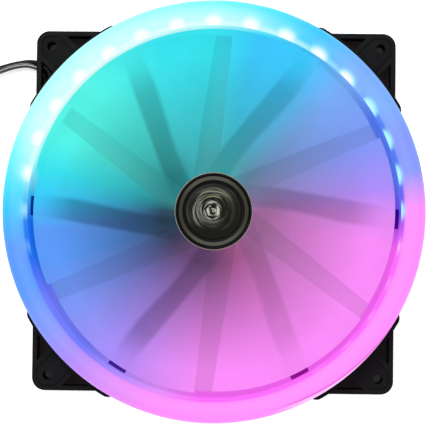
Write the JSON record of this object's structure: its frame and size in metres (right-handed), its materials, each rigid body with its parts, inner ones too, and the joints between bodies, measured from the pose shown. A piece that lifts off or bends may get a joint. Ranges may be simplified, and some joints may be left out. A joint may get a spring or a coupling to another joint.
{
  "type": "case fan",
  "caption": "Slim case fan: lit ring round a translucent bladed rotor, square-cornered mounting frame, rear arms carrying the hub motor, and leads wound into coils.",
  "frame": {"origin": "middle of the rear mounting plane, on the spin axis", "axes": "+Z along the spin axis towards the front, +X and +Y along the sides of the square of mounting holes; the leads leave towards -X at high Y"},
  "size_m": [0.2471, 0.1952, 0.03],
  "materials": {
    "frame_plastic": "fine moulded texture",
    "pad_rubber": "matte",
    "screw_steel": "zinc plated",
    "ring_base_plastic": "white, reflecting",
    "led_tape": "white solder mask",
    "ring_diffuser_plastic": "milky, glowing",
    "bearing_brass": "turned",
    "thrust_plastic": "smooth",
    "plug_plastic": "matte",
    "core_steel": "laminated",
    "bobbin_plastic": "natural nylon",
    "copper_wire": "enamelled copper",
    "board": "solder mask",
    "chip_black": "moulded",
    "label_film": "blank satin film",
    "cable_jacket": "glossy",
    "tie_plastic": "satin",
    "connector_plastic": "satin",
    "blade_plastic": "frosted, translucent",
    "hub_plastic": "gloss",
    "trim_metal": "satin",
    "badge_metal": "spun",
    "yoke_steel": "plated",
    "magnet_ferrite": "matte",
    "shaft_steel": "ground"
  },
  "bodies": {
    "housing": {"frame": "frame_plastic", "corner_pad_1": "pad_rubber", "corner_pad_2": "pad_rubber", "corner_pad_3": "pad_rubber", "corner_pad_4": "pad_rubber", "ring_screw_1": "screw_steel", "ring_screw_2": "screw_steel", "ring_screw_3": "screw_steel", "ring_screw_4": "screw_steel", "ring_screw_5": "screw_steel", "ring_screw_6": "screw_steel", "ring_screw_7": "screw_steel", "ring_screw_8": "screw_steel", "light_ring_base": "ring_base_plastic", "led_strip": "led_tape", "light_ring_diffuser": "ring_diffuser_plastic", "bearing_tube": "bearing_brass", "sleeve_bearing": "bearing_brass", "thrust_pad": "thrust_plastic", "bearing_plug": "plug_plastic", "stator_core": "core_steel", "bobbin_upper": "bobbin_plastic", "bobbin_lower": "bobbin_plastic", "coil_1": "copper_wire", "coil_2": "copper_wire", "coil_3": "copper_wire", "coil_4": "copper_wire", "motor_pcb": "board", "driver_ic": "chip_black", "hall_sensor": "chip_black", "rear_label": "label_film", "motor_lead": "cable_jacket", "light_lead": "cable_jacket", "power_cable": "cable_jacket", "light_cable": "cable_jacket", "power_cable_coil": "cable_jacket", "light_cable_coil": "cable_jacket", "power_cable_tail": "cable_jacket", "light_cable_tail": "cable_jacket", "power_cable_tie": "tie_plastic", "light_cable_tie": "tie_plastic", "power_connector": "connector_plastic", "light_connector": "connector_plastic"},
    "rotor": {"impeller": "blade_plastic", "hub_cap": "hub_plastic", "hub_trim_ring": "trim_metal", "hub_badge": "badge_metal", "rotor_yoke": "yoke_steel", "rotor_magnet": "magnet_ferrite", "shaft": "shaft_steel", "retaining_clip": "shaft_steel"}
  },
  "joints": [
    {"name": "rotor_spin", "type": "hinge", "parent": "housing", "child": "rotor", "pos_m": [0, 0, 0.012], "axis": [0, 0, 1], "continuous": true}
  ]
}
